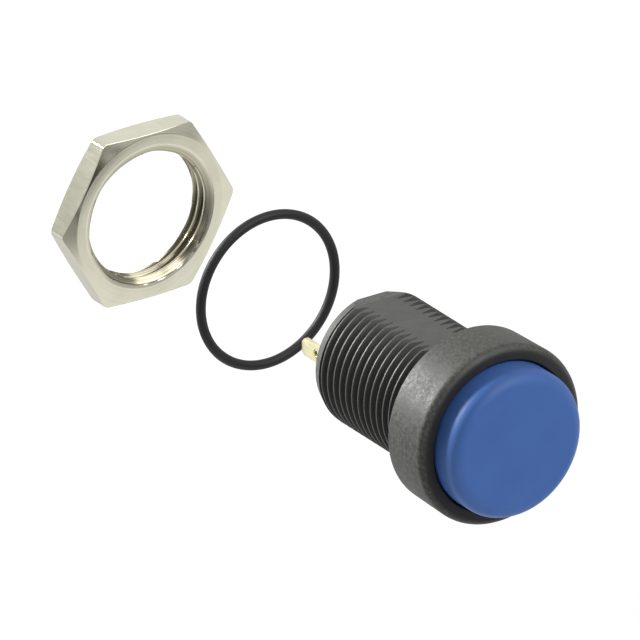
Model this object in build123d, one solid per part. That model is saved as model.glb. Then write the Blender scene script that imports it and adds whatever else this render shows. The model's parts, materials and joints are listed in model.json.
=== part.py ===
from build123d import *
import os
from math import cos, radians, sin, tan

# A round panel pushbutton switch with its gasket and nut, in millimetres.
# The switch's axis is Y. The button faces -Y, and the bushing runs back along +Y.
# The origin is on the axis, in the bezel's underside, which is the face that meets the panel.
# The flat of the bushing faces +Z.

# Bezel and bushing: one moulding
THREAD_DIA = 13.6
BUSHING_LENGTH = 15.5
LEAD_IN_LENGTH = 1.3  # plain taper at the bushing's rear end, which starts the nut
LEAD_IN_DEPTH = 0.45  # how much it takes off the thread's radius
FLAT_DEPTH = 0.7  # from the thread's outside to the flat along it
BEZEL_WALL = 1.53  # round the button, at the front
BEZEL_DRAFT = 0.25  # how much smaller the bezel's radius is at the rear
BEZEL_DEPTH = 5.75
BEZEL_EDGE_RADIUS = 0.45
FLANGE_THICKNESS = 1.4
BUSHING_WALL = 1.3  # from the thread's outside to the base's bore
BASE_LEDGE = 0.5  # width of the ledge inside the bushing that the base seats on

# Button
BUTTON_DIA = 14.7
BUTTON_PROUD = 3.0
BUTTON_EDGE_RADIUS = 1.3
BUTTON_TOP_WALL = 1.7
BUTTON_SKIRT_WALL = 1.1
BUTTON_CLEARANCE = 0.12
CAP_BOSS_WALL = 1.47  # round the plunger's tip
SPRING_RING_WALL = 0.7  # ring inside the cap that centres the return spring
SPRING_RING_HEIGHT = 0.9
TRAVEL = 1.6
STOP_CLEARANCE = 0.3  # left between moving pieces at the end of their travel

# Plunger and its guide
PLUNGER_DIA = 4.9
PLUNGER_TIP_DIA = 3.0
PLUNGER_TIP_LENGTH = 2.6
STEM_DIA = 2.9
TAIL_DIA = 2.0
GUIDE_CLEARANCE = 0.05
GUIDE_WALL = 1.0
GUIDE_RISE = 0.6  # of the guide tube above the flange's inner face
WEB_THICKNESS = 2.2
WEB_FRONT = 2.8
SEAL_BORE_FLOOR = 0.4  # depth of the seal's bore below the web's front
SEAL_SECTION = 0.84
SEAL_PLACE = 0.3
GROOVE_CLEARANCE = 0.03

# Clips and washer on the plunger
CLIP_THICKNESS = 0.5
CLIP_WALL = 1.5
CLIP_COLLAR = 0.35  # length of the collar behind the clip's groove
CLIP_MOUTH = 1.6
WASHER_THICKNESS = 0.35
WASHER_RIM = 0.5  # of the washer outside the contact spring
BRIDGE_CLIP_THICKNESS = 0.4
BRIDGE_CLIP_GROOVE = 0.35  # depth of its groove in the tail
BRIDGE_CLIP_WALL = 1.15
BRIDGE_CLIP_MOUTH = 1.1
TAIL_OVERHANG = 0.4
SEAT_GAP = 0.03  # between pieces that rest on each other

# Springs
RETURN_WIRE = 0.6
RETURN_TURNS = 4
RETURN_CLEARANCE = 0.4  # round the guide tube
CONTACT_WIRE = 0.35
CONTACT_TURNS = 3
CONTACT_SPRING_CLEARANCE = 0.4  # round the plunger's tail
CONTACT_SPRING_LENGTH = 2.5

# Contacts and terminals
CONTACT_GAP = 1.0
CONTACT_DIA = 1.3
CONTACT_HEIGHT = 0.4
CONTACT_SPREAD = 6.0  # between the two contacts' centres
CONTACT_EDGE_CHAMFER = 0.12
BRIDGE_THICKNESS = 0.4
BRIDGE_WIDTH = 1.8
BRIDGE_EYE_WALL = 0.8  # round the hole for the plunger's tail
BRIDGE_END = 0.9  # from a contact's centre to the end of the bridge
TERMINAL_SPREAD = 8.0
TERMINAL_THICKNESS = 0.5
TERMINAL_WIDTH = 1.8
TERMINAL_PROUD = 5.3
TERMINAL_FOOT = 0.7  # from a contact's centre to the foot's inner end
TERMINAL_BEND = 0.45
TERMINAL_TIP_CHAMFER = 0.4
SOLDER_EYE_DIA = 1.0
SOLDER_EYE_PLACE = 2.4  # from the terminal's tip

# Base and potting
BASE_THICKNESS = 2.3
BASE_EDGE_CHAMFER = 0.3
BASE_CLEARANCE = 0.05
GUIDE_POST_RISE = 0.6  # of the posts that keep the bridge from turning, in front of it
GUIDE_POST_SIZE = 1.1
GUIDE_POST_PLACE = 2.75  # of their centres from the axis, along the bridge
GUIDE_POST_CLEARANCE = 0.1
POTTING_RECESS = 0.3  # of the potting below the bushing's rear rim
BOND_GAP = 0.01  # between the potting and what it is bonded to

EDGE_BEVELS = 3  # a turned rounded edge is drawn with this many small bevels
WIRE_SIDES = 6  # a spring wire's round section is drawn with flats
RUBBER_SIDES = 8  # and so is a rubber ring's
OVERCUT = 1.0  # how far a cutting solid runs past what it cuts

# Gasket and nut, as set out behind the switch
GASKET_SLACK = 0.6  # between the thread's outside and the gasket's bore, across both
GASKET_SECTION = 0.95
GASKET_PLACE = 32.65
NUT_WALL = 1.7  # from the thread's outside to a flat
NUT_THICKNESS = 2.7
NUT_CLEARANCE = 0.06
NUT_COUNTERSINK = 0.44  # depth and width of the countersink at each end of the bore
NUT_FACE_INSET = 0.2  # of the flat ring on each face from the flats
NUT_CHAMFER_ANGLE = 15.0
NUT_PLACE = 52.4

# Worked out from the sizes above
THREAD_R = THREAD_DIA / 2
FLAT_HEIGHT = THREAD_R - FLAT_DEPTH
BASE_BORE_R = THREAD_R - BUSHING_WALL
CHAMBER_R = BASE_BORE_R - BASE_LEDGE
WELL_R = BUTTON_DIA / 2 + BUTTON_CLEARANCE
BEZEL_FRONT_R = WELL_R + BEZEL_WALL
BEZEL_REAR_R = BEZEL_FRONT_R - BEZEL_DRAFT
FRONT = -BEZEL_DEPTH
WELL_FLOOR = -FLANGE_THICKNESS
GUIDE_FRONT = WELL_FLOOR - GUIDE_RISE
SEAL_BORE_R = PLUNGER_DIA / 2 + GUIDE_CLEARANCE
GUIDE_TUBE_R = SEAL_BORE_R + GUIDE_WALL
STEM_BORE_R = STEM_DIA / 2 + GUIDE_CLEARANCE
RETURN_R = GUIDE_TUBE_R + RETURN_CLEARANCE + RETURN_WIRE / 2
SEAL_BORE_END = WEB_FRONT + SEAL_BORE_FLOOR
WEB_REAR = WEB_FRONT + WEB_THICKNESS
BUTTON_FRONT = FRONT - BUTTON_PROUD
CAP_INSIDE = BUTTON_FRONT + BUTTON_TOP_WALL
SKIRT_END = WELL_FLOOR - TRAVEL - STOP_CLEARANCE
SHOULDER = GUIDE_FRONT - TRAVEL - STOP_CLEARANCE
PLUNGER_END = SEAL_BORE_END - TRAVEL - STOP_CLEARANCE
CLIP_FRONT = WEB_REAR + SEAT_GAP
CLIP_BORE_R = TAIL_DIA / 2 + GROOVE_CLEARANCE
CLIP_GROOVE_END = CLIP_FRONT + CLIP_THICKNESS + SEAT_GAP
WASHER_FRONT = CLIP_GROOVE_END + CLIP_COLLAR + SEAT_GAP
CONTACT_SPRING_R = TAIL_DIA / 2 + CONTACT_SPRING_CLEARANCE + CONTACT_WIRE / 2
CONTACT_SPRING_FRONT = WASHER_FRONT + WASHER_THICKNESS + SEAT_GAP
BRIDGE_FRONT = CONTACT_SPRING_FRONT + CONTACT_SPRING_LENGTH + SEAT_GAP
BRIDGE_REAR = BRIDGE_FRONT + BRIDGE_THICKNESS
BRIDGE_CLIP_BORE_R = TAIL_DIA / 2 - BRIDGE_CLIP_GROOVE + GROOVE_CLEARANCE
BRIDGE_CLIP_FRONT = BRIDGE_REAR + SEAT_GAP
BRIDGE_CLIP_GROOVE_END = BRIDGE_CLIP_FRONT + BRIDGE_CLIP_THICKNESS + SEAT_GAP
TAIL_END = BRIDGE_CLIP_GROOVE_END + TAIL_OVERHANG
FIXED_CONTACT_FRONT = BRIDGE_REAR + CONTACT_HEIGHT + CONTACT_GAP
FOOT_FRONT = FIXED_CONTACT_FRONT + CONTACT_HEIGHT
BASE_FRONT = FOOT_FRONT + TERMINAL_THICKNESS
BASE_REAR = BASE_FRONT + BASE_THICKNESS
BASE_RECESS_R = BRIDGE_CLIP_BORE_R + BRIDGE_CLIP_WALL + STOP_CLEARANCE
BASE_RECESS_FLOOR = TAIL_END + TRAVEL + STOP_CLEARANCE
POTTING_REAR = BUSHING_LENGTH - POTTING_RECESS
TERMINAL_TIP = BUSHING_LENGTH + TERMINAL_PROUD
NUT_BORE_R = THREAD_R + NUT_CLEARANCE
NUT_APOTHEM = THREAD_R + NUT_WALL
NUT_CORNER_R = NUT_APOTHEM / cos(radians(30))
TIP_FRONT = SHOULDER - PLUNGER_TIP_LENGTH


def turned(*points):
    """A solid turned about the switch's axis from (radius, depth) points."""
    return revolve(make_face(Polyline(*points, close=True)), Axis.Y)


def rod(radius, front, rear, x=0, z=0):
    """A round rod along the switch's axis, or beside it, from one depth to another."""
    return Pos(x, (front + rear) / 2, z) * Rot(90, 0, 0) * Cylinder(radius, rear - front)


def block(width, front, rear, height, x=0, z=0):
    """A block from one depth to another: width runs along X and height along Z."""
    return Pos(x, (front + rear) / 2, z) * Box(width, rear - front, height)


def rounded_edge(outer_r, front, edge_radius):
    """(radius, depth) points round a turned front edge, from its front face to its side."""
    points = []
    for step in range(EDGE_BEVELS + 1):
        angle = radians(90 * step / EDGE_BEVELS)
        point_r = outer_r - edge_radius * (1 - sin(angle))
        points.append((point_r, front + edge_radius * (1 - cos(angle))))
    return points


def ring(bore, section, place):
    """A rubber ring about the switch's axis, with flats against its bore and its sides."""
    flats = RegularPolygon(section / 2, RUBBER_SIDES, major_radius=False, rotation=180 / RUBBER_SIDES)
    return revolve(Pos((bore + section) / 2, place) * flats, Axis.Y)


def coil(mean_r, wire, turns, front, rear):
    """A coil spring with ground ends that fills the space from front to rear."""
    length = rear - front
    pitch = length / turns
    start = (0, front - pitch / 2, 0)
    path = Helix(pitch, length + pitch, mean_r, center=start, direction=(0, 1, 0))
    wire_face = RegularPolygon(wire / 2, WIRE_SIDES, major_radius=False)
    section = Plane(origin=path @ 0, z_dir=path % 0) * wire_face
    return sweep(section, path, is_frenet=True) & rod(2 * mean_r, front, rear)


def open_ring(bore_r, wall, mouth, front, thickness):
    """A flat spring clip: a ring with a mouth wide enough to push on to its groove."""
    rear = front + thickness
    outer_r = bore_r + wall
    plate = rod(outer_r, front, rear) - rod(bore_r, front - OVERCUT, rear + OVERCUT)
    clip = plate - block(mouth, front - OVERCUT, rear + OVERCUT, outer_r, z=outer_r / 2)
    corners = clip.edges().filter_by(Axis.Y).group_by(Axis.Z)[-1]
    return fillet(corners, wall / 4)


def housing():
    outer = [
        *rounded_edge(BEZEL_FRONT_R, FRONT, BEZEL_EDGE_RADIUS),
        (BEZEL_REAR_R, 0),
        (THREAD_R, 0),
        (THREAD_R, BUSHING_LENGTH - LEAD_IN_LENGTH),
        (THREAD_R - LEAD_IN_DEPTH, BUSHING_LENGTH),
    ]
    inner = [
        (BASE_BORE_R, BUSHING_LENGTH),
        (BASE_BORE_R, BASE_FRONT),
        (CHAMBER_R, BASE_FRONT),
        (CHAMBER_R, WEB_REAR),
        (STEM_BORE_R, WEB_REAR),
        (STEM_BORE_R, SEAL_BORE_END),
        (SEAL_BORE_R, SEAL_BORE_END),
        (SEAL_BORE_R, GUIDE_FRONT),
        (GUIDE_TUBE_R, GUIDE_FRONT),
        (GUIDE_TUBE_R, WEB_FRONT),
        (CHAMBER_R, WEB_FRONT),
        (CHAMBER_R, WELL_FLOOR),
        (WELL_R, WELL_FLOOR),
        (WELL_R, FRONT),
    ]
    body = turned(*outer, *inner)
    over_flat = THREAD_R
    return body - block(THREAD_DIA, 0, BUSHING_LENGTH + OVERCUT, over_flat, z=FLAT_HEIGHT + over_flat / 2)


def button_cap():
    outer_r = BUTTON_DIA / 2
    skirt_r = outer_r - BUTTON_SKIRT_WALL
    tip_bore_r = PLUNGER_TIP_DIA / 2 + GROOVE_CLEARANCE
    boss_r = tip_bore_r + CAP_BOSS_WALL
    ring_r = RETURN_R + RETURN_WIRE / 2 + STOP_CLEARANCE
    return turned(
        (0, BUTTON_FRONT),
        *rounded_edge(outer_r, BUTTON_FRONT, BUTTON_EDGE_RADIUS),
        (outer_r, SKIRT_END),
        (skirt_r, SKIRT_END),
        (skirt_r, CAP_INSIDE),
        (ring_r + SPRING_RING_WALL, CAP_INSIDE),
        (ring_r + SPRING_RING_WALL, CAP_INSIDE + SPRING_RING_HEIGHT),
        (ring_r, CAP_INSIDE + SPRING_RING_HEIGHT),
        (ring_r, CAP_INSIDE),
        (boss_r, CAP_INSIDE),
        (boss_r, SHOULDER),
        (tip_bore_r, SHOULDER),
        (tip_bore_r, TIP_FRONT - GROOVE_CLEARANCE),
        (0, TIP_FRONT - GROOVE_CLEARANCE),
    )


def plunger():
    seal_groove_r = SEAL_BORE_R - GROOVE_CLEARANCE - SEAL_SECTION - GROOVE_CLEARANCE
    half_groove = SEAL_SECTION / 2 + GROOVE_CLEARANCE
    bridge_groove_r = TAIL_DIA / 2 - BRIDGE_CLIP_GROOVE
    return turned(
        (0, TIP_FRONT),
        (PLUNGER_TIP_DIA / 2, TIP_FRONT),
        (PLUNGER_TIP_DIA / 2, SHOULDER),
        (PLUNGER_DIA / 2, SHOULDER),
        (PLUNGER_DIA / 2, SEAL_PLACE - half_groove),
        (seal_groove_r, SEAL_PLACE - half_groove),
        (seal_groove_r, SEAL_PLACE + half_groove),
        (PLUNGER_DIA / 2, SEAL_PLACE + half_groove),
        (PLUNGER_DIA / 2, PLUNGER_END),
        (STEM_DIA / 2, PLUNGER_END),
        (STEM_DIA / 2, CLIP_FRONT - SEAT_GAP),
        (TAIL_DIA / 2, CLIP_FRONT - SEAT_GAP),
        (TAIL_DIA / 2, CLIP_GROOVE_END),
        (STEM_DIA / 2, CLIP_GROOVE_END),
        (STEM_DIA / 2, WASHER_FRONT - SEAT_GAP),
        (TAIL_DIA / 2, WASHER_FRONT - SEAT_GAP),
        (TAIL_DIA / 2, BRIDGE_CLIP_FRONT - SEAT_GAP),
        (bridge_groove_r, BRIDGE_CLIP_FRONT - SEAT_GAP),
        (bridge_groove_r, BRIDGE_CLIP_GROOVE_END),
        (TAIL_DIA / 2, BRIDGE_CLIP_GROOVE_END),
        (TAIL_DIA / 2, TAIL_END),
        (0, TAIL_END),
    )


def plunger_seal():
    bore = 2 * (SEAL_BORE_R - GROOVE_CLEARANCE - SEAL_SECTION)
    return ring(bore, SEAL_SECTION, SEAL_PLACE)


def retaining_ring():
    return open_ring(CLIP_BORE_R, CLIP_WALL, CLIP_MOUTH, CLIP_FRONT, CLIP_THICKNESS)


def bridge_clip():
    return open_ring(
        BRIDGE_CLIP_BORE_R,
        BRIDGE_CLIP_WALL,
        BRIDGE_CLIP_MOUTH,
        BRIDGE_CLIP_FRONT,
        BRIDGE_CLIP_THICKNESS,
    )


def spring_washer():
    rear = WASHER_FRONT + WASHER_THICKNESS
    bore = rod(TAIL_DIA / 2 + GUIDE_CLEARANCE, WASHER_FRONT - OVERCUT, rear + OVERCUT)
    rim_r = CONTACT_SPRING_R + CONTACT_WIRE / 2 + WASHER_RIM
    return rod(rim_r, WASHER_FRONT, rear) - bore


def return_spring():
    front = CAP_INSIDE + SEAT_GAP
    return coil(RETURN_R, RETURN_WIRE, RETURN_TURNS, front, WEB_FRONT - SEAT_GAP)


def contact_spring():
    rear = CONTACT_SPRING_FRONT + CONTACT_SPRING_LENGTH
    return coil(CONTACT_SPRING_R, CONTACT_WIRE, CONTACT_TURNS, CONTACT_SPRING_FRONT, rear)


def contact_bridge():
    length = CONTACT_SPREAD + 2 * BRIDGE_END
    strip = block(length, BRIDGE_FRONT, BRIDGE_REAR, BRIDGE_WIDTH)
    strip = fillet(strip.edges().filter_by(Axis.Y), BRIDGE_WIDTH / 3)
    hole_r = TAIL_DIA / 2 + GUIDE_CLEARANCE
    strip += rod(hole_r + BRIDGE_EYE_WALL, BRIDGE_FRONT, BRIDGE_REAR)
    return strip - rod(hole_r, BRIDGE_FRONT - OVERCUT, BRIDGE_REAR + OVERCUT)


def moving_contact(side):
    """A contact welded to the bridge's rear face."""
    disc = rod(CONTACT_DIA / 2, BRIDGE_REAR, BRIDGE_REAR + CONTACT_HEIGHT, side * CONTACT_SPREAD / 2)
    return chamfer(disc.edges().group_by(Axis.Y)[-1], CONTACT_EDGE_CHAMFER)


def fixed_contact(side):
    """A contact welded to a terminal's foot, facing the bridge."""
    disc = rod(CONTACT_DIA / 2, FIXED_CONTACT_FRONT, FOOT_FRONT, side * CONTACT_SPREAD / 2)
    return chamfer(disc.edges().group_by(Axis.Y)[0], CONTACT_EDGE_CHAMFER)


def terminal(side):
    """A flat terminal: a foot under the contact, and a blade that leaves through the base."""
    inner = CONTACT_SPREAD / 2 - TERMINAL_FOOT
    blade_in = (TERMINAL_SPREAD - TERMINAL_THICKNESS) / 2
    blade_out = (TERMINAL_SPREAD + TERMINAL_THICKNESS) / 2
    outline = Polyline(
        (side * inner, FOOT_FRONT),
        (side * blade_out, FOOT_FRONT),
        (side * blade_out, TERMINAL_TIP),
        (side * blade_in, TERMINAL_TIP),
        (side * blade_in, BASE_FRONT),
        (side * inner, BASE_FRONT),
        close=True,
    )
    strip = extrude(make_face(outline), TERMINAL_WIDTH / 2, both=True)
    across = strip.edges().filter_by(Axis.Z)
    outer_bend = across.group_by(Axis.Y)[0].sort_by(Axis.X)[0 if side < 0 else -1]
    strip = fillet(outer_bend, TERMINAL_BEND)
    tip_corners = strip.edges().filter_by(Axis.X).group_by(Axis.Y)[-1]
    strip = chamfer(tip_corners, TERMINAL_TIP_CHAMFER)
    eye_place = (side * TERMINAL_SPREAD / 2, TERMINAL_TIP - SOLDER_EYE_PLACE, 0)
    eye = Pos(*eye_place) * Rot(0, 90, 0) * Cylinder(SOLDER_EYE_DIA / 2, 2 * TERMINAL_THICKNESS)
    return strip - eye


def terminal_slots(front, rear, clearance):
    """The two slots that the blades pass through, from one depth to another."""
    width = TERMINAL_THICKNESS + 2 * clearance
    height = TERMINAL_WIDTH + 2 * clearance
    left = block(width, front, rear, height, -TERMINAL_SPREAD / 2)
    return left + block(width, front, rear, height, TERMINAL_SPREAD / 2)


def terminal_base():
    body = rod(BASE_BORE_R - BASE_CLEARANCE, BASE_FRONT, BASE_REAR)
    body = chamfer(body.edges().group_by(Axis.Y)[-1], BASE_EDGE_CHAMFER)
    post_z = BRIDGE_WIDTH / 2 + GUIDE_POST_CLEARANCE + GUIDE_POST_SIZE / 2
    post_front = BRIDGE_FRONT - GUIDE_POST_RISE
    for x in (-GUIDE_POST_PLACE, GUIDE_POST_PLACE):
        for z in (-post_z, post_z):
            body += block(GUIDE_POST_SIZE, post_front, BASE_FRONT, GUIDE_POST_SIZE, x, z)
    recess = rod(BASE_RECESS_R, BASE_FRONT - OVERCUT, BASE_RECESS_FLOOR)
    return body - recess - terminal_slots(BASE_FRONT - OVERCUT, BASE_REAR + OVERCUT, BASE_CLEARANCE)


def base_seal():
    fill = rod(BASE_BORE_R - BOND_GAP, BASE_REAR + BOND_GAP, POTTING_REAR)
    return fill - terminal_slots(BASE_REAR - OVERCUT, POTTING_REAR + OVERCUT, BOND_GAP)


def panel_gasket():
    return ring(THREAD_DIA + GASKET_SLACK, GASKET_SECTION, GASKET_PLACE)


def panel_nut():
    """A hexagonal nut with its corners bevelled at both ends and its bore countersunk."""
    rear = NUT_PLACE + NUT_THICKNESS
    sink_r = NUT_BORE_R + NUT_COUNTERSINK
    face_r = NUT_APOTHEM - NUT_FACE_INSET
    bevel = (NUT_CORNER_R - face_r) * tan(radians(NUT_CHAMFER_ANGLE))
    envelope = turned(
        (sink_r, NUT_PLACE),
        (face_r, NUT_PLACE),
        (NUT_CORNER_R, NUT_PLACE + bevel),
        (NUT_CORNER_R, rear - bevel),
        (face_r, rear),
        (sink_r, rear),
        (NUT_BORE_R, rear - NUT_COUNTERSINK),
        (NUT_BORE_R, NUT_PLACE + NUT_COUNTERSINK),
    )
    hexagon = RegularPolygon(NUT_APOTHEM, 6, major_radius=False)
    prism = extrude(hexagon, NUT_THICKNESS / 2, both=True)
    return envelope & Pos(0, NUT_PLACE + NUT_THICKNESS / 2, 0) * Rot(90, 0, 0) * prism


PARTS = {
    "housing": housing(),
    "button_cap": button_cap(),
    "plunger": plunger(),
    "plunger_seal": plunger_seal(),
    "retaining_ring": retaining_ring(),
    "return_spring": return_spring(),
    "spring_washer": spring_washer(),
    "contact_spring": contact_spring(),
    "contact_bridge": contact_bridge(),
    "moving_contact_left": moving_contact(-1),
    "moving_contact_right": moving_contact(1),
    "bridge_clip": bridge_clip(),
    "fixed_contact_left": fixed_contact(-1),
    "fixed_contact_right": fixed_contact(1),
    "terminal_left": terminal(-1),
    "terminal_right": terminal(1),
    "terminal_base": terminal_base(),
    "base_seal": base_seal(),
    "panel_gasket": panel_gasket(),
    "panel_nut": panel_nut(),
}

os.makedirs("parts", exist_ok=True)
for name, shape in PARTS.items():
    export_step(shape, f"parts/{name}.step")
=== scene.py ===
import json
from math import ceil, cos, exp, floor, hypot, pi, radians, sin, tan

import bmesh
import bpy
from mathutils import Matrix, Vector

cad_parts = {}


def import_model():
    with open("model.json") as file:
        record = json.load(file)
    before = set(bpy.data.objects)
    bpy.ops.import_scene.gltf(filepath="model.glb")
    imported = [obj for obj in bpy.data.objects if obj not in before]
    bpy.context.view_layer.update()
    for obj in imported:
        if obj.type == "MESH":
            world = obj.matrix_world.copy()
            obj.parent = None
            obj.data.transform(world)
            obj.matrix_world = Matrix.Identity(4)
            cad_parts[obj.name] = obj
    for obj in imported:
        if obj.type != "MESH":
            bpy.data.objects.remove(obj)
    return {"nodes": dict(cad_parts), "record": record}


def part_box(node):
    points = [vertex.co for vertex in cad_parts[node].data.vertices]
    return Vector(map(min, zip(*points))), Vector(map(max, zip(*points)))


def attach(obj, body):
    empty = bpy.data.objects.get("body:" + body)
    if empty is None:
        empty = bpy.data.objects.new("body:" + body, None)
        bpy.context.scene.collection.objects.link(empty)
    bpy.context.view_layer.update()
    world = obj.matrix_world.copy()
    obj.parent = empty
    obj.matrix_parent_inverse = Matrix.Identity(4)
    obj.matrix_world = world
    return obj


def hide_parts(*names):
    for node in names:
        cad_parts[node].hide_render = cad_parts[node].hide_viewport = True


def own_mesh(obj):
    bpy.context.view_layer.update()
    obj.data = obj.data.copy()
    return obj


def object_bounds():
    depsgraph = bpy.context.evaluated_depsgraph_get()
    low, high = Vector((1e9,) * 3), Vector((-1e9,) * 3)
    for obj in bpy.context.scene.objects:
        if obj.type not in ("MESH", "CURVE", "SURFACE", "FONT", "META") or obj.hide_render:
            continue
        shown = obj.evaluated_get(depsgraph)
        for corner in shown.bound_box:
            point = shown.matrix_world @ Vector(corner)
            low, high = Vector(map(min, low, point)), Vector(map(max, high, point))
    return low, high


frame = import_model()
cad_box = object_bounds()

# A round panel pushbutton switch. Its axis is Y: the button faces -Y and the bushing runs back
# along +Y. The sealing ring and the panel nut are set out behind it. Sizes are in metres.
MM = 0.001

# Sizes read from the imported model
MOUNT = {mount["name"]: mount for mount in frame["record"]["mounts"]}
THREAD_R = MOUNT["panel_bushing"]["dims"]["r_mm"] * MM
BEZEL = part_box("housing")
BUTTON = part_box("button_cap")
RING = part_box("panel_gasket")
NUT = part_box("panel_nut")
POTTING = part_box("base_seal")
BEZEL_FRONT_R = BEZEL[1].x
BEZEL_FRONT = BEZEL[0].y
BUSHING_REAR = BEZEL[1].y
BUTTON_R = BUTTON[1].x
BUTTON_FRONT = BUTTON[0].y
SKIRT_END = BUTTON[1].y

# Meshes
SEGMENTS = 240  # round a turned piece
MERGE = 0.001 * MM  # points nearer to each other than this are one
OVERCUT = 1.0 * MM  # how far a cutting piece runs past what it cuts
SHARP_TURN = radians(28)  # an edge that turns by more is shaded sharp

# Thread: a flat crest, a flank down, a flat root and a flank up in each turn
PITCH = 1.0 * MM
THREAD_DEPTH = 0.5 * MM
CREST_SHARE = 0.15  # of the pitch that the crest's flat takes
FLANK_SHARE = 0.34  # of the pitch that each flank takes
THREAD_ROUNDING = 0.12  # of the thread's depth, where a flat meets a flank
# Whole turns and a hair more, added so that no rounding puts a row at the wrong end of its turn
PHASE_SHIFT = 64.00001
# A turn's rows of points, as shares of the pitch. They lie closer together at its bends.
THREAD_ROWS = (
    0.0, 0.05, 0.10, 0.13, 0.16, 0.24, 0.34, 0.42,
    0.46, 0.53, 0.60, 0.64, 0.72, 0.82, 0.90, 0.96,
)

# Terminals
TERMINAL_THICKNESS = 0.5 * MM
TERMINAL_TIP_CHAMFER = 0.4 * MM
TERMINAL_EDGE = 0.06 * MM  # rounding of its stamped edges
TERMINAL_EDGE_TURN = radians(40)  # an edge that turns by more is a stamped one
FOOT_INSET = 0.01 * MM  # of the foot's faces from the blade's, so that none coincide
EYE_R = 0.5 * MM
EYE_PLACE = 2.4 * MM  # from the tip
EYE_STEPS = 32

# Bezel, and the button's well in it
BEZEL_DRAFT = 0.25 * MM  # how much smaller its radius is at the rear
BEZEL_EDGE = 0.8 * MM  # rounding of its front edge
BEZEL_REAR_EDGE = 0.12 * MM  # rounding of its rear edge
BEZEL_REAR_CHAMFER = 0.2 * MM  # how far from the underside the chamfer before that starts
WELL_GAP = 0.12 * MM  # round the button
WELL_LIP = 0.15 * MM  # chamfer at the well's mouth
WELL_FLOOR = -1.4 * MM

# Bushing
BOND_GAP = 0.01 * MM  # round the potting
LEDGE_WIDTH = 0.5 * MM  # of the ledge that the base stands on
BASE_BORE_R = POTTING[1].x + BOND_GAP
CHAMBER_R = BASE_BORE_R - LEDGE_WIDTH
BASE_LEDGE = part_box("terminal_left")[0].y + TERMINAL_THICKNESS
FLAT_HEIGHT = THREAD_R - 0.7 * MM  # of the flat along the thread, above the axis
LEAD_IN_LENGTH = 1.3 * MM  # plain taper behind the thread
LEAD_IN_DEPTH = 0.45 * MM  # how much it takes off the thread's radius
LEAD_IN_START = (0.02 * MM, 0.06 * MM)  # where the taper starts, below the crest and behind it
LEAD_IN_ANGLE = radians(15)
LEAD_IN_EDGE = 0.12 * MM  # rounding of its rear edge
THREAD_END = BUSHING_REAR - LEAD_IN_LENGTH

# Web across the bushing, with the plunger's guide tube in front
WEB_FRONT = 2.8 * MM
WEB_REAR = 5.0 * MM
STEM_BORE_R = 1.5 * MM
SEAL_BORE_R = 2.5 * MM
SEAL_BORE_END = 3.2 * MM
GUIDE_R = 3.5 * MM
GUIDE_FRONT = -2.0 * MM

# Button cap
BUTTON_EDGE = 1.3 * MM  # rounding of its front edge
BUTTON_WALL = 1.7 * MM
SKIRT_WALL = 1.1 * MM
SKIRT_EDGE = 0.15 * MM
BOSS_R = 3.0 * MM
BOSS_BORE_R = 1.53 * MM
BOSS_END = -3.9 * MM
BOSS_BORE_FLOOR = -6.53 * MM
SPRING_ROOM = 0.3 * MM  # between the return spring and the ring round it
SPRING_RING_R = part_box("return_spring")[1].x + SPRING_ROOM
SPRING_RING_WALL = 0.7 * MM
SPRING_RING_HEIGHT = 0.9 * MM

# Sealing ring
RING_STEPS = 28  # round its section
RING_FLASH = 0.012 * MM  # height of the line that its mould leaves

# Panel nut
NUT_BORE_R = THREAD_R + 0.22 * MM  # to the thread's root
NUT_THREAD_DEPTH = 0.62 * MM
NUT_RIM_R = THREAD_R + 0.5 * MM  # of the countersink, where it meets the face
NUT_COUNTERSINK_SLOPE = 3.0  # what its radius loses for each unit of depth
NUT_FACE_INSET = 0.2 * MM  # of the flat ring on each face from the nut's flats
NUT_CHAMFER_ANGLE = radians(15)
NUT_CORNER_ROUND = 0.4 * MM
NUT_BLANK_MARGIN = 0.5 * MM  # of the turned blank outside the hexagon's corners
NUT_EDGE = 0.05 * MM  # rounding of its edges
NUT_EDGE_TURN = radians(12)  # an edge that turns by more is rounded, or else shaded sharp
NUT_EDGE_MARGIN = 0.1 * MM  # how far inside the flat ring's rim edges are still rounded

# Potting
POTTING_SINK = 0.22 * MM  # of its middle below its rim
POTTING_CLIMB = 0.35 * MM  # how far from a wall it still climbs
POTTING_RINGS = 44
POTTING_SPOKES = 144

# Springs
RETURN_WIRE = 0.6 * MM
RETURN_TURNS = 6.0
CONTACT_WIRE = 0.35 * MM
CONTACT_TURNS = 4.5
WIRE_SIDES = 12
COIL_STEPS = 40  # points in a turn

# Camera: its direction from the switch, and how much of the switch it frames
CAMERA_AZIMUTH = radians(-34.3)
CAMERA_ELEVATION = radians(25.3)
LENS = 1240.0
SENSOR = 36.0
VIEW_WIDTH = 59.1 * MM  # what the frame's width takes in at the bezel
VIEW_CENTRE = (-16.76 * MM, 10.73 * MM)  # frame's middle from the bezel's front, right and up

# Floor, light on the pieces, and what shiny surfaces see of the floor and the room
FLOOR_DROP = 26 * MM  # below the lowest piece
FLOOR_SIZE = 250 * MM  # from its middle to its edges
PAPER = 0.80  # how pale the floor is for the light that it throws back on the pieces
FLOOR_GLOW = 0.85  # its own brightness where it shows, and light on it adds the rest to white
WORLD_LIGHT = 0.12  # the room's own light on the pieces
FLOOR_SHADE = 0.22  # the floor's shaded corner, in a shiny surface
FLOOR_SHADE_WAY = (0.5, 0.87, 0)  # from the shaded corner
FLOOR_SHADE_FADE = (-20 * MM, 12 * MM)  # where the shade starts to fade that way, and is gone
FLOOR_REAR_SHADE = 0.6  # the floor well behind the switch
FLOOR_REAR_FADE = (30 * MM, 85 * MM)  # where that shade starts along the axis, and is full
ROOM_SHADE = 0.62  # the room's shaded side. The rest of the room and the floor is white.
ROOM_LIGHT_WAY = (0.5, 0.5, 0.7)  # to the room's white side
ROOM_FADE = (0.2, 0.9)  # how far that way the shade starts to fade, and is gone
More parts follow.
